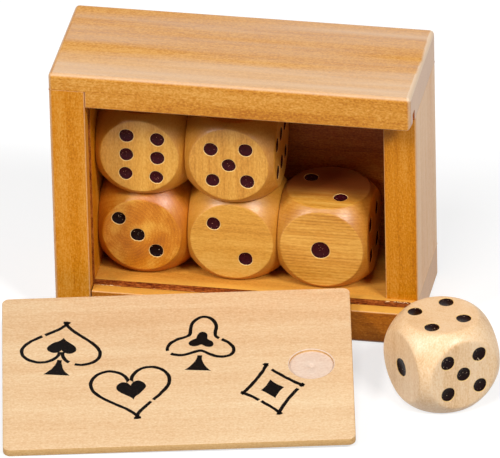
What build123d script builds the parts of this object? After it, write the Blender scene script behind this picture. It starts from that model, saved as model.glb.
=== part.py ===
from build123d import *
from math import cos, hypot, radians, sin, sqrt, tan
import os

# A small wooden dice case and its six dice. The case stands on one long wall with its open
# face towards -Y, its lid is off and leans on the lower sill, five dice are inside and one
# stands on the table. The origin is the middle of the case's underside, and +Z is up.

# Dice, each with a round flat on every face
die_size = 20.0
die_gap = 0.1
flat_diameter = 17.5
wide_flat_diameter = 18.4
narrow_flat_diameter = 16.3
pip_diameter = 3.05
single_pip_diameter = 4.1
drill_point_angle = 118.0
drill_lead = 0.2
pip_offset = 3.9
six_column_offset = 3.45
six_row_offset = 4.75

# How far a die in the case stands off the back panel
against_back = 0.4
near_back = 0.9
off_back = 1.8

# Room left in the case when its dice stand three in a row and two rows high
columns = 3
rows = 2
end_room = 4.5
head_room = 5.8
depth_room = 3.7

# Boards of the case, with rebates of one depth at the corners and round the back
wall = 8.0
low_end_thickness = 7.2
rebate_depth = 4.0
back_thickness = 3.0
back_play = 0.1
arris_radius = 1.0

# Groove that the lid runs in, near the open face
lip = 2.9
groove_width = 2.4
groove_depth = 2.7
end_groove_depth = 4.4
low_end_step = 0.9
lip_arris_radius = 0.4
lip_end_radius = 1.2

# Lid
lid_thickness = 1.9
lid_side_play = 0.2
lid_end_play = 0.2
lid_corner_radius = 1.6
lid_arris_radius = 0.25
finger_recess_diameter = 10.2
finger_recess_depth = 0.6
finger_recess_inset = 9.0
spur_diameter = 1.4
spur_depth = 0.4

# Where the lid leans: its near left corner stands on the table, a little in from the closed
# end, and its right edge lies on the sill with its far corner this much past the case's front
lid_corner_inset = 0.2
lid_table_gap = 0.05
lid_turn = 11.25
lid_rise = 0.75
lid_seat_gap = 0.3
lid_over_sill = 5.18

# Where the die on the table stands, from the case's low end and its front
loose_die_past_end = 9.5
loose_die_ahead = 19.1
loose_die_turn = 38.6

die_pitch = die_size + die_gap
case_length = wall + columns * die_pitch + end_room + low_end_thickness
case_height = wall + rows * die_pitch + head_room + wall
case_depth = lip + groove_width + depth_room + die_size + back_thickness
inner_left = -case_length / 2 + wall
inner_right = case_length / 2 - low_end_thickness
inner_back = case_depth / 2 - back_thickness
front = -case_depth / 2
groove_back = front + lip + groove_width

# Each die in the case: name, column, row, gap behind it, width of its flats, and the numbers
# on its front, top and right faces. The opposite faces add up to seven.
cased_dice = [
    ("die_upper_left", 0, 1, near_back, flat_diameter, (6, 2, 3)),
    ("die_upper_middle", 1, 1, off_back, flat_diameter, (5, 4, 6)),
    ("die_lower_left", 0, 0, against_back, flat_diameter, (3, 1, 5)),
    ("die_lower_middle", 1, 0, against_back, wide_flat_diameter, (2, 1, 3)),
    ("die_lower_right", 2, 0, near_back, wide_flat_diameter, (1, 2, 4)),
]
loose_die = ("die_outside", narrow_flat_diameter, (5, 4, 6))

# A pattern that is laid on its side: the six on the right face of the upper middle die
turned_six = "die_upper_middle"


def block(x_low, x_high, y_low, y_high, z_low, z_high):
    """A box between two opposite corners."""
    middle = ((x_low + x_high) / 2, (y_low + y_high) / 2, (z_low + z_high) / 2)
    return Pos(*middle) * Box(x_high - x_low, y_high - y_low, z_high - z_low)


def rounded_case():
    """The outside of the glued and sanded case, which all its boards are flush with."""
    whole = block(-case_length / 2, case_length / 2, front, case_depth / 2, 0, case_height)
    return fillet(whole.edges(), arris_radius)


def back_seat():
    """The rebate round the back, which the back panel is let into."""
    return block(
        inner_left - rebate_depth,
        inner_right + rebate_depth,
        inner_back,
        case_depth,
        wall - rebate_depth,
        case_height - wall + rebate_depth,
    )


def nearest_edge(board, x, y, z):
    return board.edges().sort_by_distance((x, y, z))[0]


def long_wall():
    """The lower long wall, lapped over the closed end wall and grooved for the lid."""
    board = block(-case_length / 2, case_length / 2, front, case_depth / 2, 0, wall)
    board -= block(-case_length, inner_left, -case_depth, case_depth, wall - rebate_depth, case_height)
    board -= block(-case_length, case_length, front + lip, groove_back, wall - groove_depth, case_height)
    lip_end = nearest_edge(board, case_length / 2, front + lip / 2, wall)
    board = fillet(lip_end, lip_end_radius)
    lip_front = nearest_edge(board, 0, front, wall)
    board = fillet(lip_front, lip_arris_radius)
    board -= back_seat()
    return board & rounded_case()


def closed_end_wall():
    """The end that the lid stops in: a board of full depth with the deeper groove."""
    board = block(
        -case_length / 2,
        inner_left,
        front,
        case_depth / 2,
        wall - rebate_depth,
        case_height - wall + rebate_depth,
    )
    board -= block(inner_left - end_groove_depth, case_length, front + lip, groove_back, 0, case_height)
    board = fillet(nearest_edge(board, inner_left, front, case_height / 2), lip_arris_radius)
    board -= back_seat()
    return board & rounded_case()


def low_end_wall():
    """The end that the lid passes over: its front edge stands behind the groove."""
    low_end_front = groove_back + low_end_step
    board = block(inner_right, case_length / 2, low_end_front, case_depth / 2, wall, case_height - wall)
    outer_arris = nearest_edge(board, case_length / 2, low_end_front, case_height / 2)
    inner_arris = nearest_edge(board, inner_right, low_end_front, case_height / 2)
    board = fillet([outer_arris, inner_arris], lip_arris_radius)
    board -= back_seat()
    return board & rounded_case()


def back_panel():
    """The thin board that was the case's floor, glued into its rebate."""
    return block(
        inner_left - rebate_depth + back_play,
        inner_right + rebate_depth - back_play,
        inner_back,
        case_depth / 2,
        wall - rebate_depth + back_play,
        case_height - wall + rebate_depth - back_play,
    )


def lid_length():
    """From the bottom of the end groove to flush with the low end."""
    return case_length - wall + end_groove_depth - lid_end_play


def lid_width():
    """Between the bottoms of the two long grooves."""
    return case_height - 2 * wall + 2 * groove_depth - 2 * lid_side_play


def flat_lid():
    """The lid on the plane Z 0, with its near left corner at the origin."""
    length = lid_length()
    width = lid_width()
    board = block(0, length, 0, width, 0, lid_thickness)
    board = fillet(board.edges().filter_by(Axis.Z), lid_corner_radius)
    board = fillet(board.faces().sort_by(Axis.Z)[-1].edges(), lid_arris_radius)
    recess_centre = Pos(length - finger_recess_inset, width / 2, lid_thickness)
    recess = Cylinder(finger_recess_diameter / 2, 2 * finger_recess_depth)
    spur_centre = Pos(0, 0, -finger_recess_depth - spur_depth / 2)
    spur = Cone(0, spur_diameter / 2, spur_depth)
    return board - recess_centre * recess - recess_centre * spur_centre * spur


def lid_plane():
    """The plane of the lid's underside, through two near corners and the sill's edge."""
    turn = radians(lid_turn)
    along = Vector(lid_length() * cos(turn), lid_length() * sin(turn), lid_rise)
    climb = wall + lid_seat_gap - lid_table_gap - lid_rise
    reach = sqrt((lid_width() - lid_over_sill) ** 2 - climb ** 2)
    up_the_right_edge = Vector(-reach * sin(turn), reach * cos(turn), climb)
    left = -case_length / 2 + lid_corner_inset
    near_left = Vector(left, front - up_the_right_edge.Y - along.Y, lid_table_gap)
    normal = along.cross(along + up_the_right_edge)
    return Plane(origin=near_left, x_dir=along, z_dir=normal)


def pip_places(number, turned):
    """Centres of a face's pips, across and up from its middle."""
    corners = {2: [(-1, 1), (1, -1)], 3: [(-1, 1), (1, -1)]}
    four = [(-1, 1), (1, 1), (-1, -1), (1, -1)]
    places = [(a * pip_offset, b * pip_offset) for a, b in corners.get(number, four)]
    if number == 1:
        places = []
    if number == 6:
        heights = (-six_row_offset, 0, six_row_offset)
        places = [(side * six_column_offset, height) for side in (-1, 1) for height in heights]
    if number % 2:
        places.append((0, 0))
    return [(b, a) for a, b in places] if turned else places


def pip_cutter(number):
    """The point of the drill that spots a pip, with some of it above the face."""
    diameter = single_pip_diameter if number == 1 else pip_diameter
    slope = tan(radians(drill_point_angle / 2))
    depth = diameter / 2 / slope
    height = depth + drill_lead
    return Pos(0, 0, (drill_lead - depth) / 2) * Cone(0, height * slope, height)


def faces_of(numbers):
    """Each face's number and its plane, from the numbers on front, top and right."""
    front_number, top_number, right_number = numbers
    half = die_size / 2
    return [
        (front_number, Plane((0, -half, 0), x_dir=(1, 0, 0), z_dir=(0, -1, 0))),
        (7 - front_number, Plane((0, half, 0), x_dir=(-1, 0, 0), z_dir=(0, 1, 0))),
        (top_number, Plane((0, 0, half), x_dir=(1, 0, 0), z_dir=(0, 0, 1))),
        (7 - top_number, Plane((0, 0, -half), x_dir=(1, 0, 0), z_dir=(0, 0, -1))),
        (right_number, Plane((half, 0, 0), x_dir=(0, 1, 0), z_dir=(1, 0, 0))),
        (7 - right_number, Plane((-half, 0, 0), x_dir=(0, -1, 0), z_dir=(-1, 0, 0))),
    ]


def die(flat, numbers, six_on_its_side=False):
    """A cube rounded by a ball, which leaves a round flat on each face, and its pips."""
    body = Box(die_size, die_size, die_size) & Sphere(hypot(die_size / 2, flat / 2))
    cutters = []
    for number, plane in faces_of(numbers):
        turned = six_on_its_side and number == 6
        for across, up in pip_places(number, turned):
            cutters.append(plane * Pos(across, up, 0) * pip_cutter(number))
    return body - cutters


def cased_die(name, column, row, gap_behind, flat, numbers):
    """A die in its place, counted from the closed end and from the lower wall."""
    x = inner_left + die_gap + die_size / 2 + column * die_pitch
    y = inner_back - gap_behind - die_size / 2
    z = wall + die_gap + die_size / 2 + row * die_pitch
    return Pos(x, y, z) * die(flat, numbers, name == turned_six)


def table_die(flat, numbers):
    """The die on the table, turned a little more than a third of a right angle."""
    x = case_length / 2 + loose_die_past_end
    y = front - loose_die_ahead
    return Pos(x, y, die_size / 2) * Rot(0, 0, loose_die_turn) * die(flat, numbers)


lower_wall = long_wall()
nodes = {
    "long_wall_bottom": lower_wall,
    "long_wall_top": lower_wall.mirror(Plane.XY.offset(case_height / 2)),
    "closed_end_wall": closed_end_wall(),
    "low_end_wall": low_end_wall(),
    "back_panel": back_panel(),
    "sliding_lid": lid_plane() * flat_lid(),
}
for name, column, row, gap_behind, flat, numbers in cased_dice:
    nodes[name] = cased_die(name, column, row, gap_behind, flat, numbers)
nodes[loose_die[0]] = table_die(loose_die[1], loose_die[2])

os.makedirs("parts", exist_ok=True)
for name, shape in nodes.items():
    export_step(shape, f"parts/{name}.step")
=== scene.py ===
import math
import random

import bmesh
import bpy
from mathutils import Matrix, Vector, noise


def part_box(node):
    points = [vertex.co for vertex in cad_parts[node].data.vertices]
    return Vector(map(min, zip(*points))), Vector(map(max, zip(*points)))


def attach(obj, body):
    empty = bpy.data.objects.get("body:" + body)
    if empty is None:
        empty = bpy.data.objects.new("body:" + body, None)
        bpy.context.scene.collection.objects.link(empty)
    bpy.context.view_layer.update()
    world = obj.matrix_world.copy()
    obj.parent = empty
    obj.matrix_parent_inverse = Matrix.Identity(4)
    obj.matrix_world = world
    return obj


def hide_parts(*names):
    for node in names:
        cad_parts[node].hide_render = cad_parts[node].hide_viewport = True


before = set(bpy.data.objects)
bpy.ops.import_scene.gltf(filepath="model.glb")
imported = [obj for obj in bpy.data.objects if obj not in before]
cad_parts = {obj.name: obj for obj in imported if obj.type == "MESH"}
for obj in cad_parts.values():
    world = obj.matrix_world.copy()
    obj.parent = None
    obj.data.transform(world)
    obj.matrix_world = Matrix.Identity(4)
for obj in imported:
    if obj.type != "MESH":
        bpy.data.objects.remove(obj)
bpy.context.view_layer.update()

MM = 0.001

# The boards of the case are schima, a close-grained amber hardwood. They are planed, grooved for
# the lid and rebated for the back on a table saw, then glued, sanded flush and sprayed with clear
# satin lacquer. The joints show only as fine lines, and the saw leaves the grooves torn and raw.
arris_radius = 1.0 * MM
lip_arris_radius = 0.4 * MM
lip_end_radius = 1.2 * MM
planed_arris_radius = 0.08 * MM
lip = 2.9 * MM
groove_width = 2.4 * MM
groove_depth = 2.7 * MM
end_groove_depth = 4.4 * MM
back_play = 0.1 * MM
open_joint = 0.3 * MM
# The groove's edges are torn in short lengths, deeper and shallower in long waves.
tear_out = 0.1 * MM
tear_spacing = 0.5 * MM
tear_wave = 4 * MM
# Cutters reach this far past the wood, and places closer than a touch count as one.
over = 1.0 * MM
touch = 0.01 * MM
arris_segments = 5
sharp_angle = math.radians(30)

case_low = Vector(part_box("long_wall_bottom")[0])
case_high = Vector(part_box("long_wall_top")[1])
wall_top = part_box("long_wall_bottom")[1][2]
inner_levels = (wall_top, case_high.z - wall_top)
inner_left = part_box("closed_end_wall")[1][0]
inner_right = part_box("low_end_wall")[0][0]
low_end_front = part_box("low_end_wall")[0][1]
groove_front = case_low.y + lip
groove_back = groove_front + groove_width
rebate_low = Vector(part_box("back_panel")[0]) - Vector((back_play, 0, back_play))
rebate_high = Vector(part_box("back_panel")[1]) + Vector((back_play, 0, back_play))


def block(bm, low, high, material=0):
    """Adds a block between two opposite corners."""
    verts = bmesh.ops.create_cube(bm, size=1.0)["verts"]
    bmesh.ops.scale(bm, vec=Vector(high) - Vector(low), verts=verts)
    bmesh.ops.translate(bm, vec=(Vector(high) + Vector(low)) / 2, verts=verts)
    for face in {face for vert in verts for face in vert.link_faces}:
        face.material_index = material


def piece_from(bm, name):
    """Makes the bmesh a mesh object of the scene, at the origin."""
    mesh = bpy.data.meshes.new(name)
    bm.to_mesh(mesh)
    bm.free()
    piece = bpy.data.objects.new(name, mesh)
    bpy.context.scene.collection.objects.link(piece)
    return piece


def settle(piece):
    """Makes what the piece's modifiers give its own mesh."""
    finished = piece.evaluated_get(bpy.context.evaluated_depsgraph_get())
    mesh = bpy.data.meshes.new_from_object(finished)
    old = piece.data
    piece.modifiers.clear()
    piece.data = mesh
    bpy.data.meshes.remove(old)
    mesh.name = piece.name


def cut_away(piece, cutters):
    """Cuts each cutter's bmesh out of the piece. The cut faces keep the cutter's slot number."""
    tools = []
    for number, cutter in enumerate(cutters):
        tool = piece_from(cutter, f"{piece.name}_cutter_{number}")
        modifier = piece.modifiers.new(tool.name, "BOOLEAN")
        modifier.object = tool
        modifier.operation = "DIFFERENCE"
        modifier.solver = "EXACT"
        modifier.material_mode = "INDEX"
        tools.append(tool)
    settle(piece)
    for tool in tools:
        mesh = tool.data
        bpy.data.objects.remove(tool)
        bpy.data.meshes.remove(mesh)


def lies_on(edge, axis, place):
    """Whether both ends of the edge are at that place along the axis."""
    return all(abs(vert.co[axis] - place) < touch for vert in edge.verts)


def tear_groove_edges(bm, rng):
    """Breaks the groove's long edges into short lengths, and frays them as the saw did."""
    for level in inner_levels:
        for y in (groove_front, groove_back):
            edges = [edge for edge in bm.edges if lies_on(edge, 1, y) and lies_on(edge, 2, level)]
            for edge in edges:
                cuts = int(edge.calc_length() / tear_spacing)
                made = bmesh.ops.subdivide_edges(bm, edges=[edge], cuts=cuts)
                for vert in made["geom_inner"]:
                    if isinstance(vert, bmesh.types.BMVert):
                        wave = noise.noise(Vector((vert.co.x / tear_wave, y / MM, level / MM)))
                        vert.co.y += tear_out * (wave + rng.uniform(-0.5, 0.5))


def arris(edge):
    """How far an edge of a board is rounded: most on the outside, not at all in the groove."""
    outer = sum(lies_on(edge, axis, end[axis]) for end in (case_low, case_high)
                for axis in range(3))
    if outer >= 2:
        return arris_radius
    on_lip_face = any(lies_on(edge, 2, level) for level in inner_levels)
    in_front_of_groove = edge.verts[0].co.y < groove_front + tear_out
    if on_lip_face and lies_on(edge, 0, case_high.x) and in_front_of_groove:
        return lip_end_radius
    if on_lip_face and lies_on(edge, 1, case_low.y):
        return lip_arris_radius
    if lies_on(edge, 0, inner_left) and lies_on(edge, 1, case_low.y):
        return lip_arris_radius
    if lies_on(edge, 1, low_end_front) and abs(edge.verts[0].co.z - edge.verts[1].co.z) > wall_top:
        return lip_arris_radius
    in_groove = all(groove_front - over / 2 < vert.co.y < groove_back + over / 2
                    for vert in edge.verts)
    return 0.0 if in_groove else planed_arris_radius


def milled_board(name, cuts, seed, woods):
    """A board of the node's size, with its cuts milled, its groove torn and its arrises eased."""
    low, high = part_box(name)
    bm = bmesh.new()
    block(bm, low, high)
    piece = piece_from(bm, name + "_wood")
    for material in woods:
        piece.data.materials.append(material)
    cutters = []
    for cut_low, cut_high in cuts:
        cutter = bmesh.new()
        block(cutter, cut_low, cut_high, material=1)
        cutters.append(cutter)
    cut_away(piece, cutters)
    bm = bmesh.new()
    bm.from_mesh(piece.data)
    tear_groove_edges(bm, random.Random(seed))
    for face in bm.faces:
        face.smooth = True
    weights = bm.edges.layers.float.new("bevel_weight_edge")
    for edge in bm.edges:
        if edge.calc_face_angle(0) > sharp_angle:
            edge[weights] = arris(edge) / lip_end_radius
            edge.smooth = edge[weights] > 0
    bm.to_mesh(piece.data)
    bm.free()
    modifier = piece.modifiers.new("arrises", "BEVEL")
    modifier.limit_method = "WEIGHT"
    modifier.width = lip_end_radius
    modifier.segments = arris_segments
    modifier.use_clamp_overlap = False
    modifier.harden_normals = True
    settle(piece)
    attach(piece, "case")
    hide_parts(name)


def upside_down(cut):
    """The same cut in the upper long wall, which is the lower one turned over."""
    (x1, y1, z1), (x2, y2, z2) = cut
    return (x1, y1, case_high.z - z2), (x2, y2, case_high.z - z1)


def colour(hex_value):
    """A colour written as sRGB hex, turned to linear."""
    channels = [int(hex_value[i:i + 2], 16) / 255 for i in (1, 3, 5)]
    linear = [c / 12.92 if c <= 0.04045 else ((c + 0.055) / 1.055) ** 2.4 for c in channels]
    return (*linear, 1.0)


def add(tree, kind, inputs=None, **settings):
    """Adds a node with its settings, and sets its inputs or links them to other nodes."""
    made = tree.nodes.new(kind)
    for name, value in settings.items():
        setattr(made, name, value)
    for key, value in (inputs or {}).items():
        if isinstance(value, bpy.types.Node):
            value = value.outputs[0]
        if isinstance(value, bpy.types.NodeSocket):
            tree.links.new(value, made.inputs[key])
        else:
            made.inputs[key].default_value = value
    return made


# The pattern of the wood runs along X, and these turns lay it along a piece's own grain.
grain_turns = {"X": (0, 0, 0), "Y": (0, 0, math.pi / 2), "Z": (0, math.pi / 2, 0)}
# A painted shadow is drawn as a dark core round a piece's heart: its tone, and the reach that
# gives none.
heartwood_tone = "#84441A"
no_heartwood = -9.0
# How far the painted light and sheen show as streaks along the bands, starting in an outer
# zone of the rings, and how much of it end grain takes, where it is even.
streak_strength = 3.0
streak_start = -1.1
painted_light_zone_share = 0.7
even_painted_light = 0.85


def schima(name, centre, grain, heart, ring, tones, look, turn=0.0, heartwood=no_heartwood):
    """Wood cut from a tree whose rings run round the heart, a line along the grain.

    Fine rings, long fibres, short dark pores and a sandy fleck give a calm, close grain with soft
    broad bands. centre is the piece's middle in metres. heart, two distances across the grain
    from there, and ring, the spacing of the rings, are millimetres, and so is the reach of a
    painted shadow, drawn as a dark core round the heart, below zero for none. tones are pale,
    middle and deep.
    look gives how strong the rings, fibres, pores, flecks and bands are, how far the rings
    wander, how much darker end grain is, how much shade is painted on rounded parts, how far
    from the heart the outer zone of stronger painted light starts, the sides painted paler as the
    light and sheen that fall on them, each with its colour and strength, how much paler the
    arrises are, rubbed through and with a painted highlight, and their colour, and the relief in
    millimetres, roughness and reflection.
    """
    material = bpy.data.materials.new(name)
    material.use_nodes = True
    tree = material.node_tree
    tree.nodes.clear()

    def along_the_grain(vector):
        upright = add(tree, "ShaderNodeVectorRotate", {"Vector": vector, "Angle": -turn},
                      rotation_type="Z_AXIS")
        return add(tree, "ShaderNodeVectorRotate",
                   {"Vector": upright, "Rotation": grain_turns[grain]},
                   rotation_type="EULER_XYZ", invert=True)

    place = add(tree, "ShaderNodeTexCoord")
    from_centre = add(tree, "ShaderNodeVectorMath", {0: place.outputs["Object"], 1: centre},
                      operation="SUBTRACT")
    in_mm = add(tree, "ShaderNodeVectorMath",
                {0: along_the_grain(from_centre), "Scale": 1 / MM}, operation="SCALE")

    def grain_noise(lengthwise, crosswise, detail, shift):
        """Noise drawn out along the grain, with its frequencies per millimetre."""
        scaled = add(tree, "ShaderNodeMapping",
                     {"Vector": in_mm, "Scale": (lengthwise, crosswise, crosswise),
                      "Location": (shift, shift * 1.7, shift * 0.6)})
        return add(tree, "ShaderNodeTexNoise",
                   {"Vector": scaled, "Scale": 1.0, "Detail": detail, "Roughness": 0.55})

    # The rings, as far as they wander
    seed = heart[0] + heart[1]
    wander = grain_noise(0.025, 0.09, 2.0, seed)
    swing = add(tree, "ShaderNodeVectorMath",
                {0: wander.outputs["Color"], 1: (0.5, 0.5, 0.5)}, operation="SUBTRACT")
    swing = add(tree, "ShaderNodeVectorMath", {0: swing, "Scale": look["wander"]},
                operation="SCALE")
    across = add(tree, "ShaderNodeVectorMath", {0: in_mm, 1: swing}, operation="ADD")
    across = add(tree, "ShaderNodeVectorMath", {0: across, 1: (0.0, heart[0], heart[1])},
                 operation="SUBTRACT")
    across = add(tree, "ShaderNodeVectorMath", {0: across, 1: (0.0, 1.0, 1.0)},
                 operation="MULTIPLY")
    radius = add(tree, "ShaderNodeVectorMath", {0: across}, operation="LENGTH").outputs["Value"]
    rings = add(tree, "ShaderNodeMath", {0: radius, 1: ring}, operation="DIVIDE")
    rings = add(tree, "ShaderNodeMath", {0: rings}, operation="FRACT")
    bands = grain_noise(0.01, 0.18, 2.0, seed + 11)
    late_wood = add(tree, "ShaderNodeMath", {0: rings, 1: 3.0}, operation="POWER")
    late_wood = add(tree, "ShaderNodeMath", {0: late_wood, 1: bands}, operation="MULTIPLY")

    # Real pores are about 0.1 mm wide and the sandy flecks finer still. Both are drawn two to
    # four times as wide, so that they show.
    fibres = grain_noise(0.1, 1.5, 2.0, seed + 3)
    pores = grain_noise(0.9, 4.0, 0.0, seed + 7)
    flecks = grain_noise(2.0, 2.8, 1.0, seed + 5)
    patterns = ((fibres, look["fibres"]), (pores, look["pores"]), (flecks, look["flecks"]),
                (bands, look["bands"]))
    middle_tone = 0.5 - look["rings"] / 4 - sum(strength for pattern, strength in patterns) / 2
    tone = add(tree, "ShaderNodeMath", {0: late_wood, 1: 2 * look["rings"], 2: middle_tone},
               operation="MULTIPLY_ADD")
    for pattern, strength in patterns:
        tone = add(tree, "ShaderNodeMath", {0: pattern, 1: strength, 2: tone},
                   operation="MULTIPLY_ADD")
    shade = add(tree, "ShaderNodeValToRGB", {"Fac": tone})
    shade.color_ramp.elements[0].color = colour(tones[0])
    shade.color_ramp.elements[0].position = 0.1
    shade.color_ramp.elements[1].color = colour(tones[2])
    shade.color_ramp.elements[1].position = 0.9
    shade.color_ramp.elements.new(0.5).color = colour(tones[1])

    # How far the surface is end grain, and how far it is a rounded arris or corner
    facing = add(tree, "ShaderNodeVectorMath", {0: along_the_grain(place.outputs["Normal"])},
                 operation="ABSOLUTE")
    side = add(tree, "ShaderNodeSeparateXYZ", {0: facing})
    squareness = add(tree, "ShaderNodeMath", {0: side.outputs["X"], 1: side.outputs["Y"]},
                     operation="MAXIMUM")
    squareness = add(tree, "ShaderNodeMath", {0: squareness, 1: side.outputs["Z"]},
                     operation="MAXIMUM")
    rounding = add(tree, "ShaderNodeMapRange",
                   {"Value": squareness, "From Min": 0.97, "From Max": 0.8})
    end_grain = add(tree, "ShaderNodeMath", {0: side.outputs["X"], 1: 3.0}, operation="POWER")
    end_grain_and_shade = add(tree, "ShaderNodeMath", {0: end_grain, 1: look["end_grain"]},
                  operation="MULTIPLY")
    end_grain_and_shade = add(tree, "ShaderNodeMath", {0: rounding, 1: look["shaded_rounding"], 2: end_grain_and_shade},
                  operation="MULTIPLY_ADD", use_clamp=True)

    # End grain is darker, shade is painted on rounded parts, and a painted shadow darkens a core
    # round the heart. A Mix node's colours are its sockets 6 and 7, and its mixed colour is output
    # 2.
    wood = add(tree, "ShaderNodeMix",
               {"Factor": end_grain_and_shade, 6: shade.outputs["Color"], 7: colour(tones[2])},
               data_type="RGBA")
    painted_shadow = add(tree, "ShaderNodeMapRange",
               {"Value": radius, "From Min": heartwood + 0.7, "From Max": heartwood - 0.7})
    wood = add(tree, "ShaderNodeMix",
               {"Factor": painted_shadow, 6: wood.outputs[2], 7: colour(heartwood_tone)},
               data_type="RGBA")

    # Some sides are painted paler, as the light and sheen that fall on them: in streaks, most of
    # all in an outer zone of the rings, and on end grain evenly.
    painted_light_zone = add(tree, "ShaderNodeMapRange",
                  {"Value": radius, "From Min": look["painted_light_zone"] - 2.0,
                   "From Max": look["painted_light_zone"] + 2.0})
    streaks = add(tree, "ShaderNodeMath", {0: painted_light_zone, 1: painted_light_zone_share, 2: streak_start},
                  operation="MULTIPLY_ADD")
    streaks = add(tree, "ShaderNodeMath", {0: bands, 1: streak_strength, 2: streaks},
                  operation="MULTIPLY_ADD")
    evening = add(tree, "ShaderNodeMath", {0: even_painted_light, 1: streaks}, operation="SUBTRACT")
    streaks = add(tree, "ShaderNodeMath", {0: end_grain, 1: evening, 2: streaks},
                  operation="MULTIPLY_ADD")
    for light_from, painted_light_tone, strength in look["painted_light"]:
        toward = add(tree, "ShaderNodeVectorMath", {0: place.outputs["Normal"], 1: light_from},
                     operation="DOT_PRODUCT")
        facing_light = add(tree, "ShaderNodeMath", {0: toward.outputs["Value"], 1: 0.0},
                      operation="MAXIMUM")
        facing_light = add(tree, "ShaderNodeMath", {0: facing_light, 1: 4.0}, operation="POWER")
        painted_light = add(tree, "ShaderNodeMath", {0: streaks, 1: strength}, operation="MULTIPLY")
        painted_light = add(tree, "ShaderNodeMath", {0: facing_light, 1: painted_light}, operation="MULTIPLY",
                    use_clamp=True)
        wood = add(tree, "ShaderNodeMix",
                   {"Factor": painted_light, 6: wood.outputs[2], 7: colour(painted_light_tone)},
                   data_type="RGBA")

    # The arrises are paler: partly rubbed through, partly a painted highlight.
    rubbed_and_highlight = add(tree, "ShaderNodeMath", {0: rounding, 1: look["rubbed_and_highlight"]}, operation="MULTIPLY")
    wood = add(tree, "ShaderNodeMix",
               {"Factor": rubbed_and_highlight, 6: wood.outputs[2], 7: colour(look["arris_tone"])},
               data_type="RGBA")

    # Pores are hollow and duller than the fibres between them.
    relief = add(tree, "ShaderNodeMath", {0: fibres, 1: pores}, operation="SUBTRACT")
    bump = add(tree, "ShaderNodeBump", {"Height": relief, "Distance": look["relief"] * MM})
    gloss = add(tree, "ShaderNodeMath", {0: pores, 1: 0.16, 2: look["roughness"] - 0.08},
                operation="MULTIPLY_ADD")
    surface = add(tree, "ShaderNodeBsdfPrincipled",
                  {"Base Color": wood.outputs[2], "Roughness": gloss, "Normal": bump,
                   "IOR": 1.5, "Specular IOR Level": look["specular"]})
    add(tree, "ShaderNodeOutputMaterial", {"Surface": surface})
    return material


# The cuts, each a block between two opposite corners: the lap over the closed end, the groove
# and the rebate for the back. The joint at the left end of the lower lip stands a little open.
low_x, low_y, low_z = case_low - Vector((over, over, over))
high_x, high_y, high_z = case_high + Vector((over, over, over))
lap_level = rebate_low.z
end_groove_x = inner_left - end_groove_depth
long_wall_cuts = [
    ((low_x, low_y, lap_level), (inner_left, high_y, wall_top + over)),
    ((low_x, groove_front, wall_top - groove_depth), (high_x, groove_back, wall_top + over)),
    ((rebate_low.x, rebate_low.y, lap_level), (rebate_high.x, high_y, wall_top + over)),
]
shy_lip_end = ((low_x, low_y, lap_level), (inner_left + open_joint, groove_front, wall_top + over))
closed_end_cuts = [
    ((end_groove_x, groove_front, low_z), (inner_left + over, groove_back, high_z)),
    ((rebate_low.x, rebate_low.y, low_z), (inner_left + over, high_y, high_z)),
]
low_end_cuts = [((inner_right - over, rebate_low.y, low_z), (rebate_high.x, high_y, high_z))]

# Lacquered: a satin film over a close, calm grain, paler on the arrises, partly where the colour
# has rubbed through and partly as a painted highlight. The top, the right end and the front of
# the sill are painted paler in streaks, as the light and sheen that fall on them.
lacquered = {"rings": 0.16, "fibres": 0.4, "pores": 0.38, "flecks": 0.85, "bands": 0.8,
             "wander": 4.0, "end_grain": 0.2, "shaded_rounding": 0.0, "painted_light_zone": -9.0, "painted_light": [],
             "rubbed_and_highlight": 0.4, "arris_tone": "#E4C6A6", "relief": 0.02, "roughness": 0.36,
             "specular": 0.22}
right_painted_light = ((1, 0, 0), "#F2C894", 0.5)
lit_end = dict(lacquered, painted_light=[right_painted_light], arris_tone="#F2C894")
painted_light_boards = {"long_wall_top": dict(lacquered, bands=1.1, flecks=1.1, end_grain=0.6,
                                      painted_light_zone=45.0, painted_light=[((1, 0, 1), "#E4C6A6", 0.55)],
                                      specular=0.35),
                "long_wall_bottom": dict(lit_end, end_grain=0.0, painted_light_zone=43.0,
                                         painted_light=[right_painted_light, ((0, 0, 1), "#E6AE4E", 0.52)]),
                "low_end_wall": lit_end}
# Sawn: bare in the groove and the rebates, furry and dull, and darker than the lacquered faces:
# partly the raw wood, partly shade painted into the groove.
sawn = dict(lacquered, rings=0.1, fibres=0.8, pores=0.8, end_grain=0.1, rubbed_and_highlight=0.0, relief=0.08,
            roughness=0.8, specular=0.2)
amber_tones = ("#D8963A", "#C87C08", "#A65C02")
top_tones = ("#DCA04C", "#C98524", "#AC640C")
# The bottom board and the back panel are darker than the walls: painted shade, as falls inside the
# case and behind the lid.
shaded_bottom_tones = ("#C27E2C", "#AA6008", "#864202")
shaded_panel_tones = ("#C4803A", "#AC601A", "#863E06")
sawn_and_shade_tones = ("#D07A36", "#AC5618", "#6A2604")

# Each board: its node, its cuts, the way of its grain, where the heart of its tree was, the
# spacing of its rings and its tones.
boards = [
    ("long_wall_bottom", long_wall_cuts + [shy_lip_end], "X", (22.0, -30.0), 2.6, shaded_bottom_tones),
    ("long_wall_top", [upside_down(cut) for cut in long_wall_cuts], "X", (24.0, -30.0), 3.1,
     top_tones),
    ("closed_end_wall", closed_end_cuts, "Z", (30.0, 25.0), 2.4, amber_tones),
    ("low_end_wall", low_end_cuts, "Z", (-26.0, 14.0), 2.2, amber_tones),
    ("back_panel", [], "X", (40.0, 8.0), 2.8, shaded_panel_tones),
]
for seed, (node, cuts, grain, heart, ring, tones) in enumerate(boards):
    low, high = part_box(node)
    middle = (Vector(low) + Vector(high)) / 2
    finish = painted_light_boards.get(node, lacquered)
    planed = schima(f"lacquered_schima_{node}", middle, grain, heart, ring, tones, finish)
    raw = schima(f"sawn_schima_{node}", middle, grain, heart, ring, sawn_and_shade_tones, sawn)
    milled_board(node, cuts, seed, (planed, raw))

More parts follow.
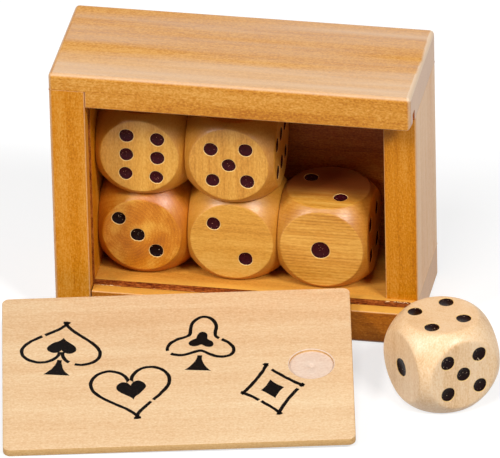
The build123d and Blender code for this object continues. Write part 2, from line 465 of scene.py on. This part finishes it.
# The saw tore a few pale fibres loose along the lower groove. They lie over the groove, below the
# level that the lid and the dice slide on, and they are the wood's own, raw and unstained.
fibre_width = 0.22 * MM
fibre_reach = (0.4, 1.0)
fibre_foot_drop = fibre_width * 0.45
# Each spot: where it starts and how long it is, in millimetres, the edge of the groove that it
# is on, and its number of fibres.
torn_spots = [(-31.0, 5.0, groove_front, 20), (-20.0, 50.0, groove_front, 28),
              (33.0, 6.0, groove_back, 10)]
rng = random.Random("torn fibres")
frayed = bmesh.new()
for start, length, edge_y, count in torn_spots:
    over_groove = 1 if edge_y == groove_front else -1
    for fibre in range(count):
        foot = Vector(((start + rng.uniform(0, length)) * MM, edge_y,
                       wall_top - fibre_foot_drop))
        lean = Vector((rng.choice((-1, 1)), over_groove * rng.uniform(0.1, 0.9),
                       rng.uniform(-0.2, 0)))
        reach = rng.uniform(*fibre_reach) * MM
        turn = lean.to_track_quat("Z", "Y").to_matrix().to_4x4()
        place = Matrix.Translation(foot + lean.normalized() * reach * 0.4) @ turn
        bmesh.ops.create_cone(frayed, cap_ends=True, segments=4, radius1=fibre_width / 2,
                              radius2=fibre_width / 10, depth=reach, matrix=place)
fibres = piece_from(frayed, "torn_fibres")
# Torn: fresh inner wood, the palest on the case, without any gloss.
fibre_tones = ("#F8E2BC", "#F0CE9A", "#DCAE72")
fibres.data.materials.append(schima("torn_schima_fibres", Vector(), "X", (22.0, -30.0), 2.6,
                                    fibre_tones, sawn))
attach(fibres, "case")


# The dice are schima cubes tumbled against a ball shape, so that a round flat is left on every
# face, and waxed. The pips are spotted with a drill and filled with glossy black enamel, which
# draws back into a shallow bowl as it dries and leaves the drilled rim bare.
die_softness = 0.05 * MM
# The die that stands outside has softer edges round its flats.
loose_die_softness = 0.15 * MM
die_cuts = 96
crease_angle = math.radians(24)
pip_radius = 1.55 * MM
loose_pip_radius = 1.61 * MM
single_pip_radius = 2.05 * MM
bare_rim = 0.13 * MM
rim_drop = 0.07 * MM
paint_bowl = 0.3 * MM
bowl_steps = 6
pip_facets = 48
# The hand that drilled them set each pattern and each pip a little off, in millimetres and
# degrees. The pips aren't quite round, nor all of one size.
pip_offset = 3.9
six_column_offset = 3.45
six_row_offset = 4.75
pattern_shift = 0.3
pattern_tilt = 2.0
pip_shift = 0.1
pip_sizes = (0.97, 1.03)
pip_unevenness = 0.012
turned_six = "die_upper_middle"
loose_die_turn = math.radians(38.6)


def tumbled_cube(half, flat, softness):
    """A ball whose six sides are planed flat, with a soft edge round each flat."""
    ball = math.hypot(half, flat * MM / 2)
    bm = bmesh.new()
    bmesh.ops.create_cube(bm, size=2.0)
    bmesh.ops.subdivide_edges(bm, edges=bm.edges[:], cuts=die_cuts, use_grid_fill=True)
    for vert in bm.verts:
        even = Vector([math.tan(c * math.pi / 4) for c in vert.co]).normalized() * ball
        for axis in range(3):
            depth = (half - abs(even[axis])) / softness
            eased = softness * math.log1p(math.exp(depth)) if depth < 30 else depth * softness
            even[axis] = math.copysign(half - eased, even[axis])
        vert.co = even
    return bm


def spin_profile(bm, profile, steps):
    """Spins a profile of radii and heights round the upright axis, as a bit cuts it."""
    verts = [bm.verts.new((r, 0.0, z)) for r, z in profile]
    edges = [bm.edges.new(pair) for pair in zip(verts, verts[1:])]
    bmesh.ops.spin(bm, geom=verts + edges, cent=(0, 0, 0), axis=(0, 0, 1), angle=2 * math.pi,
                   steps=steps, use_merge=True)


def pip_drill(bm, radius, place, rng):
    """The hollow of one pip: a bare rim, and below it the bowl of the enamel."""
    profile = [(radius * k / bowl_steps, -rim_drop - paint_bowl * (1 - (k / bowl_steps) ** 2))
               for k in range(bowl_steps + 1)]
    profile.append((radius + bare_rim, 0.0))
    profile.append((radius + 2 * bare_rim, rim_drop))
    profile.append((0.0, rim_drop))
    known = set(bm.verts)
    spin_profile(bm, profile, pip_facets)
    turned = [vert for vert in bm.verts if vert not in known]
    phases = [rng.uniform(0, 2 * math.pi) for wave in range(3)]
    for face in {face for vert in turned for face in vert.link_faces}:
        face.material_index = 1 if face.calc_center_median().z < -rim_drop * 0.9 else 2
    for vert in turned:
        angle = math.atan2(vert.co.y, vert.co.x)
        uneven = sum(math.sin((wave + 2) * angle + phase) for wave, phase in enumerate(phases))
        vert.co.xy *= 1 + pip_unevenness * uneven
    bmesh.ops.transform(bm, matrix=place, verts=turned)


def pip_places(number, turned):
    """Centres of a face's pips, across and up from its middle, in millimetres."""
    four = [(-1, 1), (1, 1), (-1, -1), (1, -1)]
    corners = {1: [], 2: [(-1, 1), (1, -1)], 3: [(-1, 1), (1, -1)]}.get(number, four)
    places = [(a * pip_offset, b * pip_offset) for a, b in corners]
    if number == 6:
        heights = (-six_row_offset, 0, six_row_offset)
        places = [(side * six_column_offset, height) for side in (-1, 1) for height in heights]
    if number % 2:
        places.append((0, 0))
    return [(b, a) for a, b in places] if turned else places


def face_frames(numbers, half):
    """Each face's number, and the matrix that lays a pattern on it."""
    front, top, right = numbers
    sides = [
        (front, (1, 0, 0), (0, -1, 0)),
        (7 - front, (-1, 0, 0), (0, 1, 0)),
        (top, (1, 0, 0), (0, 0, 1)),
        (7 - top, (1, 0, 0), (0, 0, -1)),
        (right, (0, 1, 0), (1, 0, 0)),
        (7 - right, (0, -1, 0), (-1, 0, 0)),
    ]
    for number, across, out in sides:
        x_axis, z_axis = Vector(across), Vector(out)
        y_axis = z_axis.cross(x_axis)
        turn = Matrix((x_axis, y_axis, z_axis)).transposed().to_4x4()
        yield number, Matrix.Translation(z_axis * half) @ turn


def die(name, flat, numbers, patterns, paint, wood, heartwood=no_heartwood,
        softness=die_softness, pip=pip_radius, turn=0.0):
    """One die in its node's place.

    flat is the width of its flats in millimetres, and numbers are those on its front, top and
    right. patterns shifts and tilts the pips of a numbered face. wood is the way of its grain,
    the heart's place, the spacing of the rings, the tones and the look.
    """
    low, high = (Vector(corner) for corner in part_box(name))
    half = (high.z - low.z) / 2
    middle = (low + high) / 2
    rng = random.Random(name)
    piece = piece_from(tumbled_cube(half, flat, softness), name + "_wood")
    piece.data.materials.append(schima(f"tumbled_schima_{name}", middle, *wood, turn, heartwood))
    piece.data.materials.append(paint)
    piece.data.materials.append(drilled_rims)
    drill = bmesh.new()
    for number, lay in face_frames(numbers, half):
        wobble = (rng.uniform(-pattern_shift, pattern_shift),
                  rng.uniform(-pattern_shift, pattern_shift),
                  rng.uniform(-pattern_tilt, pattern_tilt))
        across, up, tilt = patterns.get(number, wobble)
        shift = Matrix.Translation((across * MM, up * MM, 0))
        shift = shift @ Matrix.Rotation(math.radians(tilt), 4, "Z")
        for x, y in pip_places(number, name == turned_six and number == 6):
            spot = Vector((x + rng.uniform(-pip_shift, pip_shift),
                           y + rng.uniform(-pip_shift, pip_shift), 0)) * MM
            radius = single_pip_radius if number == 1 else pip * rng.uniform(*pip_sizes)
            pip_drill(drill, radius, lay @ shift @ Matrix.Translation(spot), rng)
    bmesh.ops.recalc_face_normals(drill, faces=drill.faces[:])
    cut_away(piece, [drill])
    piece.data.transform(Matrix.Translation(middle) @ Matrix.Rotation(turn, 4, "Z"))
    piece.data.shade_smooth()
    piece.data.set_sharp_from_angle(angle=crease_angle)
    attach(piece, name)
    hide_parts(name)


def enamel(name, deep, thin, bare):
    """Enamel: smooth, glossy and almost black, uneven as it dried, with pale specks painted as
    glints.
    """
    material = bpy.data.materials.new(name)
    material.use_nodes = True
    tree = material.node_tree
    tree.nodes.clear()
    place = add(tree, "ShaderNodeTexCoord")
    dried = add(tree, "ShaderNodeTexNoise",
                {"Vector": place.outputs["Object"], "Scale": 1.6 / MM, "Detail": 3.0})
    shade = add(tree, "ShaderNodeMix",
                {"Factor": dried, 6: colour(deep), 7: colour(thin)}, data_type="RGBA")
    # The pale specks are painted glints, in the colour given as bare.
    grit = add(tree, "ShaderNodeTexNoise",
               {"Vector": place.outputs["Object"], "Scale": 3.5 / MM, "Detail": 0.0})
    painted_glints = add(tree, "ShaderNodeMapRange",
                 {"Value": grit.outputs["Fac"], "From Min": 0.76, "From Max": 0.82})
    glinted = add(tree, "ShaderNodeMix",
                  {"Factor": painted_glints, 6: shade.outputs[2], 7: colour(bare)},
                  data_type="RGBA")
    bump = add(tree, "ShaderNodeBump", {"Height": dried.outputs["Fac"], "Distance": 0.04 * MM})
    surface = add(tree, "ShaderNodeBsdfPrincipled",
                  {"Base Color": glinted.outputs[2], "Roughness": 0.25, "IOR": 1.5,
                   "Specular IOR Level": 0.08, "Normal": bump})
    add(tree, "ShaderNodeOutputMaterial", {"Surface": surface})
    return material


# Enamel, dipped: a near black that is thicker on some dice and thin enough to show wine red on
# the others.
black_enamel = enamel("dipped_black_enamel", "#0A0202", "#220A08", "#B09880")
wine_enamel = enamel("dipped_wine_black_enamel", "#26060A", "#421018", "#A06C58")
# Tumbled and waxed: a soft shine on the rounded parts, which are painted darker, as shade, on
# the dice in the case. The drilled rims are bare, and the palest wood on the die.
waxed = dict(lacquered, rings=0.14, flecks=0.5, wander=1.5, end_grain=0.35, shaded_rounding=0.5,
             rubbed_and_highlight=0.0, relief=0.015, roughness=0.39, specular=0.6)
drilled_rims = schima("drilled_schima_rims", Vector((0, 0, 0)), "Z", (14.0, -18.0), 1.6,
                      ("#F0CE90", "#E8BE7A", "#DAA860"), dict(waxed, rings=0.0, shaded_rounding=0.0))
cased_tones = ("#E6B45A", "#D49838", "#B47218")
deeper_tones = ("#E6B256", "#D09234", "#AC6A16")
orange_tones = ("#E6AC44", "#CA7A10", "#A85A04")
loose_tones = ("#F4D8B4", "#EAC496", "#D6A874")
die("die_upper_left", 17.5, (6, 2, 3), {6: (0.57, 0.08, -2.5)}, wine_enamel,
    ("Z", (14.0, -18.0), 1.6, cased_tones, dict(waxed, rings=0.08, fibres=0.3)))
die("die_upper_middle", 17.5, (5, 4, 6), {5: (0.06, -0.02, 2.6)}, wine_enamel,
    ("Z", (20.0, -24.0), 0.9, deeper_tones, waxed))
die("die_lower_left", 17.5, (3, 1, 5), {3: (-0.93, 0.0, 2.0)}, black_enamel,
    ("Y", (3.5, 0.5), 0.75, orange_tones,
     dict(waxed, rings=0.17, fibres=0.25, pores=0.3, flecks=0.3, bands=1.3, end_grain=0.0)))
die("die_lower_middle", 18.4, (2, 1, 3), {2: (-0.45, 0.11, -5.3)}, wine_enamel,
    ("X", (16.0, 26.0), 1.3, cased_tones, dict(waxed, rings=0.1)))
# The back of the lower right die's top is darkened by a painted shadow, drawn as a dark core round
# a heart above the die.
die("die_lower_right", 18.4, (1, 2, 4), {1: (-0.3, -0.28, 0), 2: (-0.58, -0.05, 0)}, wine_enamel,
    ("X", (4.0, 42.0), 0.7, deeper_tones,
     dict(waxed, rings=0.3, fibres=0.8, flecks=0.25, wander=0.7)), heartwood=32.8)
die("die_outside", 16.3, (5, 4, 6), {}, black_enamel,
    ("Z", (17.0, 21.0), 1.7, loose_tones,
     dict(waxed, rings=0.1, flecks=0.8, end_grain=0.3, shaded_rounding=0.0)),
    softness=loose_die_softness, pip=loose_pip_radius, turn=loose_die_turn)


# The lid is a bare board of the same wood, planed thin and sanded, with rounded corners. A flat
# bit has sunk a shallow round in it for the finger, with the mark of its centre spur. Fresh from
# the bit, the round is paler than the face.
lid_length = 76.2 * MM
lid_width = 51.0 * MM
lid_thickness = 1.9 * MM
lid_corner_radius = 1.6 * MM
lid_arris_radius = 0.25 * MM
finger_recess_radius = 5.1 * MM
finger_recess_depth = 0.6 * MM
finger_recess_inset = 9.0 * MM
spur_radius = 0.7 * MM
spur_depth = 0.4 * MM
# The bit throws up a low burr round its spur, leans the wall a little and eases the rim.
spur_burr = 0.1 * MM
recess_wall_lean = 0.04 * MM
recess_rim = 0.2 * MM
recess_rim_drop = 0.12 * MM
recess_facets = 96
lid_corner_segments = 8
lid_arris_segments = 3
lid_turn = math.radians(11.25)
lid_rise = 0.75 * MM
lid_seat_gap = 0.3 * MM
lid_table_gap = 0.05 * MM
lid_corner_inset = 0.2 * MM
lid_over_sill = 5.18 * MM


def lid_place():
    """The matrix that leans the flat lid on the sill, its near left corner on the table."""
    along = Vector((lid_length * math.cos(lid_turn), lid_length * math.sin(lid_turn), lid_rise))
    climb = wall_top + lid_seat_gap - lid_table_gap - lid_rise
    reach = math.sqrt((lid_width - lid_over_sill) ** 2 - climb ** 2)
    up_the_right_edge = Vector((-reach * math.sin(lid_turn), reach * math.cos(lid_turn), climb))
    near_left = Vector((case_low.x + lid_corner_inset,
                        case_low.y - up_the_right_edge.y - along.y, lid_table_gap))
    x_axis = along.normalized()
    z_axis = along.cross(along + up_the_right_edge).normalized()
    y_axis = z_axis.cross(x_axis)
    turn = Matrix((x_axis, y_axis, z_axis)).transposed().to_4x4()
    return Matrix.Translation(near_left) @ turn


lid_matrix = lid_place()
board = bmesh.new()
block(board, (0, 0, 0), (lid_length, lid_width, lid_thickness))
corners = [edge for edge in board.edges
           if abs(edge.verts[0].co.z - edge.verts[1].co.z) > lid_thickness / 2]
bmesh.ops.bevel(board, geom=corners, offset=lid_corner_radius, affect="EDGES",
                segments=lid_corner_segments, profile=0.5, material=-1)
for face in board.faces:
    face.normal_update()
    face.material_index = 2 if abs(face.normal.z) < 0.5 else 0
rims = [edge for edge in board.edges if lies_on(edge, 2, lid_thickness) or lies_on(edge, 2, 0)]
bmesh.ops.bevel(board, geom=rims, offset=lid_arris_radius, affect="EDGES",
                segments=lid_arris_segments, profile=0.5, material=-1)
lid = piece_from(board, "sliding_lid_wood")
lid_middle = lid_matrix @ Vector((lid_length / 2, lid_width / 2, lid_thickness / 2))
# Sanded: matt and pale, with a fine even grain. Bored: paler and pinker still, fresh from the
# bit. Sawn: the edges, yellower and as matt.
bare = dict(lacquered, rings=0.06, fibres=0.3, pores=0.3, flecks=0.8, bands=0.7, end_grain=0.6,
            rubbed_and_highlight=0.0, roughness=0.6, specular=0.4)
bored = dict(bare, bands=0.3, flecks=0.6, relief=0.01)
lid_tones = ("#E4CAA3", "#D8B58B", "#C89B6D")
recess_tones = ("#E4D2C2", "#D8C1AE", "#CAAA94")
edge_tones = ("#E4BC84", "#D8AC70", "#C49256")
for name, tones, look in (("sanded_schima_lid", lid_tones, bare),
                          ("bored_schima_lid", recess_tones, bored),
                          ("sawn_schima_lid_edges", edge_tones, bare)):
    lid.data.materials.append(schima(name, lid_middle, "X", (10.0, -40.0), 3.0, tones, look,
                                     lid_turn))
recess = bmesh.new()
recess_profile = [
    (0.0, -finger_recess_depth - spur_depth),
    (spur_radius, -finger_recess_depth + 0.2 * spur_burr),
    (spur_radius * 1.8, -finger_recess_depth + spur_burr),
    (finger_recess_radius * 0.6, -finger_recess_depth + 0.4 * spur_burr),
    (finger_recess_radius - recess_rim - recess_wall_lean, -finger_recess_depth),
    (finger_recess_radius - recess_rim, -recess_rim_drop),
    (finger_recess_radius, 0.0),
    (finger_recess_radius + 0.3 * recess_rim, over),
    (0.0, over),
]
spin_profile(recess, recess_profile, recess_facets)
bmesh.ops.translate(recess, vec=(lid_length - finger_recess_inset, lid_width / 2, lid_thickness),
                    verts=recess.verts[:])
bmesh.ops.recalc_face_normals(recess, faces=recess.faces[:])
# The round's steep wall takes the edges' darker wood: partly end grain cut by the bit, partly
# painted shade along the rim.
for face in recess.faces:
    face.material_index = 2 if abs(face.normal.z) < 0.3 else 1
cut_away(lid, [recess])
lid.data.transform(lid_matrix)
lid.data.shade_smooth()
lid.data.set_sharp_from_angle(angle=crease_angle)
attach(lid, "lid")
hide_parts("sliding_lid")


# The lid's print is black ink pressed through a screen: four card suits in outline, each with a
# small solid one inside. The lines swell and break a little, as a brush drawing does.
suit_height = 18.0 * MM
suit_spacing = 15.2 * MM
first_suit = 13.0 * MM
suit_stagger = 8.0 * MM
suit_stroke = 0.8 * MM
stroke_wobble = 0.12 * MM
wobble_spacing = 1.3 * MM
ink_thickness = 0.03 * MM
solid_suit_share = 0.36
outline_steps = 120
stem_steps = 8
# A stem's half width at its top, how much it flares, its top and its length, as shares of the
# suit's height
stem_waist = 0.03
stem_flare = 0.13
stem_top = -0.22
stem_length = 0.28
# Without a seed the noise that makes the brush uneven would start from the clock.
noise.seed_set(1)


def heart_outline(a):
    """A point of a heart one unit high, for an angle round it."""
    up = 13 * math.cos(a) - 5 * math.cos(2 * a) - 2 * math.cos(3 * a) - math.cos(4 * a)
    return math.sin(a) ** 3 / 2, (up + 2.5) / 30


def spade_outline(a):
    """A heart turned over, which the stem goes under."""
    across, up = heart_outline(a)
    return across, 0.1 - up * 0.85


def club_outline(a):
    """Three round leaves."""
    reach = 0.34 + 0.13 * math.cos(3 * a)
    return reach * math.sin(a), 0.06 + reach * math.cos(a)


def diamond_outline(a):
    """A diamond with slightly hollow sides."""
    across = math.copysign(abs(math.sin(a)) ** 2.3, math.sin(a))
    return 0.4 * across, 0.5 * math.copysign(abs(math.cos(a)) ** 2.3, math.cos(a))


def in_a_gap(rim, gaps):
    """Whether the brush missed this bit of the stroke. Gaps are angles and half their widths."""
    angle = math.atan2(*rim.calc_center_median().xy)
    return any(abs(math.remainder(angle - gap, 2 * math.pi)) < width for gap, width in gaps)


def ink_shape(bm, points, stroke, gaps, seed):
    """A printed shape from its outline: a stroke with gaps at some angles, or solid."""
    face = bm.faces.new([bm.verts.new((*point, 0)) for point in points])
    face.normal_update()
    if face.normal.z < 0:
        face.normal_flip()
    if stroke:
        inset = bmesh.ops.inset_region(bm, faces=[face], thickness=stroke, use_boundary=True,
                                       use_even_offset=True)
        bmesh.ops.delete(bm, geom=[face], context="FACES_ONLY")
        lost = [rim for rim in inset["faces"] if in_a_gap(rim, gaps)]
        bmesh.ops.delete(bm, geom=lost, context="FACES")
    for vert in bm.verts:
        drift = noise.noise_vector(Vector((vert.co.x, vert.co.y, seed * 50 * MM)) / wobble_spacing)
        vert.co += Vector((drift.x, drift.y, 0)) * stroke_wobble
    bmesh.ops.delete(bm, geom=[vert for vert in bm.verts if not vert.link_faces], context="VERTS")


def printed(sheets):
    """Gives flat ink its thickness, a third of it sunk in the wood."""
    raised = bmesh.ops.extrude_face_region(sheets, geom=sheets.faces[:])
    top = [item for item in raised["geom"] if isinstance(item, bmesh.types.BMVert)]
    bmesh.ops.translate(sheets, vec=(0, 0, ink_thickness), verts=top)
    bmesh.ops.translate(sheets, vec=(0, 0, -ink_thickness / 3), verts=sheets.verts[:])
    bmesh.ops.recalc_face_normals(sheets, faces=sheets.faces[:])


def suit_shapes(outline, has_stem):
    """The outlines of one suit in metres: its leaf, the solid one in it, and its stem."""
    angles = [2 * math.pi * (step + 0.5) / outline_steps for step in range(outline_steps)]
    leaf = [Vector(outline(a)) * suit_height for a in angles]
    middle = sum(leaf, Vector((0, 0))) / len(leaf)
    solid = [middle + (point - middle) * solid_suit_share for point in leaf[::2]]
    stem = []
    if has_stem:
        shares = [step / stem_steps for step in range(stem_steps + 1)]
        side = [(stem_waist + stem_flare * s ** 2.2, stem_top - stem_length * s) for s in shares]
        stem = [Vector((-x, y)) * suit_height for x, y in side]
        stem += [Vector((x, y)) * suit_height for x, y in reversed(side)]
    return leaf, solid, stem


def ink(name):
    """Matt screen ink: a flat black without shine, a little thin over the pores."""
    material = bpy.data.materials.new(name)
    material.use_nodes = True
    tree = material.node_tree
    tree.nodes.clear()
    place = add(tree, "ShaderNodeTexCoord")
    thin = add(tree, "ShaderNodeTexNoise",
               {"Vector": place.outputs["Object"], "Scale": 2.5 / MM, "Detail": 2.0})
    cover = add(tree, "ShaderNodeMapRange",
                {"Value": thin.outputs["Fac"], "From Min": 0.55, "From Max": 0.8})
    shade = add(tree, "ShaderNodeMix",
                {"Factor": cover, 6: colour("#070505"), 7: colour("#241A14")},
                data_type="RGBA")
    surface = add(tree, "ShaderNodeBsdfPrincipled",
                  {"Base Color": shade.outputs[2], "Roughness": 0.6, "IOR": 1.5,
                   "Specular IOR Level": 0.08})
    add(tree, "ShaderNodeOutputMaterial", {"Surface": surface})
    return material


screen_ink = ink("matt_black_screen_ink")
# Each suit: its name and outline, whether it has a stem, its tilt in degrees, and its gaps
suits = [
    ("spade", spade_outline, True, -8, [(2.6, 0.07), (-0.9, 0.05)]),
    ("heart", heart_outline, False, 7, [(0.0, 0.06), (2.2, 0.05)]),
    ("club", club_outline, True, -6, [(1.1, 0.06), (-2.0, 0.07)]),
    ("diamond", diamond_outline, False, 9, [(0.1, 0.06), (1.7, 0.05), (-2.4, 0.05)]),
]
for place, (suit, outline, has_stem, tilt, gaps) in enumerate(suits):
    sheets = bmesh.new()
    leaf, solid, stem = suit_shapes(outline, has_stem)
    for points, stroke in ((leaf, suit_stroke), (solid, 0.0), (stem, 0.0)):
        if points:
            sheet = bmesh.new()
            ink_shape(sheet, points, stroke, gaps, place)
            mesh = bpy.data.meshes.new("ink_sheet")
            sheet.to_mesh(mesh)
            sheet.free()
            sheets.from_mesh(mesh)
            bpy.data.meshes.remove(mesh)
    printed(sheets)
    side = 1 if place % 2 == 0 else -1
    centre = Vector((first_suit + place * suit_spacing, lid_width / 2 + side * suit_stagger,
                     lid_thickness))
    lay = Matrix.Translation(centre) @ Matrix.Rotation(math.radians(tilt), 4, "Z")
    bmesh.ops.transform(sheets, matrix=lid_matrix @ lay, verts=sheets.verts[:])
    motif = piece_from(sheets, f"printed_{suit}")
    motif.data.materials.append(screen_ink)
    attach(motif, "lid")


# The stage is a sheet of pale, matt paper. To the camera and in reflections it is lifted to
# white, and it still takes the object's shadow.
floor_size = 6.0
paper_lift = 0.66
sheet = bmesh.new()
bmesh.ops.create_grid(sheet, x_segments=1, y_segments=1, size=floor_size / 2)
floor = piece_from(sheet, "floor")
paper = bpy.data.materials.new("pale_paper_floor")
paper.use_nodes = True
tree = paper.node_tree
tree.nodes.clear()


def seen_directly(tree):
    """1 for what the camera sees, straight, in a reflection or through glass."""
    ray = add(tree, "ShaderNodeLightPath")
    direct = add(tree, "ShaderNodeMath",
                 {0: ray.outputs["Is Camera Ray"], 1: ray.outputs["Is Glossy Ray"]},
                 operation="MAXIMUM")
    direct = add(tree, "ShaderNodeMath",
                 {0: direct, 1: ray.outputs["Is Transmission Ray"]},
                 operation="MAXIMUM")
    return direct


matt = add(tree, "ShaderNodeBsdfDiffuse", {"Color": colour("#ACACAC")})
glow = add(tree, "ShaderNodeEmission", {"Color": (1, 1, 1, 1), "Strength": paper_lift})
lit = add(tree, "ShaderNodeAddShader", {0: matt, 1: glow})
shown = add(tree, "ShaderNodeMixShader", {0: seen_directly(tree), 1: matt, 2: lit})
add(tree, "ShaderNodeOutputMaterial", {"Surface": shown})
floor.data.materials.append(paper)

# Round the stage is a white surround, which gives only a little light of its own.
surround = bpy.data.worlds.new("studio")
bpy.context.scene.world = surround
surround.use_nodes = True
tree = surround.node_tree
tree.nodes.clear()
soft = add(tree, "ShaderNodeBackground", {"Color": (1, 1, 1, 1), "Strength": 0.04})
white = add(tree, "ShaderNodeBackground", {"Color": (1, 1, 1, 1), "Strength": 1.0})
around = add(tree, "ShaderNodeMixShader", {0: seen_directly(tree), 1: soft, 2: white})
add(tree, "ShaderNodeOutputWorld", {"Surface": around})

# Two soft lamps stand left and right of the camera, and a third hangs high between them.
lamp_distance = 2.2
lamp_size = 0.5
aim = (case_low + case_high) / 2


def outward(azimuth, elevation):
    """The way from the object to what stands at that side and height, in degrees."""
    a, e = math.radians(azimuth), math.radians(elevation)
    return Vector((math.sin(a) * math.cos(e), -math.cos(a) * math.cos(e), math.sin(e)))


def softbox(name, azimuth, elevation, power):
    """A square lamp that looks at the case from that side and height."""
    lamp = bpy.data.lights.new(name, "AREA")
    lamp.shape = "SQUARE"
    lamp.size = lamp_size
    lamp.energy = power
    holder = bpy.data.objects.new(name, lamp)
    bpy.context.scene.collection.objects.link(holder)
    back = outward(azimuth, elevation)
    holder.location = aim + back * lamp_distance
    holder.rotation_euler = (-back).to_track_quat("-Z", "Y").to_euler()
    holder.visible_camera = False


softbox("left_lamp", -45, 38, 27.0)
softbox("right_lamp", 50, 43, 34.5)
softbox("front_lamp", -8, 60, 12.5)

# The camera stands where the photographer's did, far off with a long lens. Its focal length is
# in pixels of the picture's width.
camera_azimuth = 11.063
camera_elevation = 29.982
camera_roll = math.radians(-1.335)
camera_distance = 2504.6 * MM
camera_target = Vector((4.063, -16.0, 26.717)) * MM
camera_focal = 11472.3
picture_width = 500
sensor = 36.0
back = outward(camera_azimuth, camera_elevation)
right = outward(camera_azimuth + 90, 0)
up = back.cross(right)
rolled_right = right * math.cos(camera_roll) + up * math.sin(camera_roll)
rolled_up = up * math.cos(camera_roll) - right * math.sin(camera_roll)
lens = bpy.data.cameras.new("camera")
lens.sensor_width = sensor
lens.lens = camera_focal * sensor / picture_width
lens.clip_end = 20.0
camera = bpy.data.objects.new("camera", lens)
bpy.context.scene.collection.objects.link(camera)
pose = Matrix((rolled_right, rolled_up, back)).transposed().to_4x4()
camera.matrix_world = Matrix.Translation(camera_target + back * camera_distance) @ pose
bpy.context.scene.camera = camera
bpy.context.scene.view_settings.view_transform = "Standard"
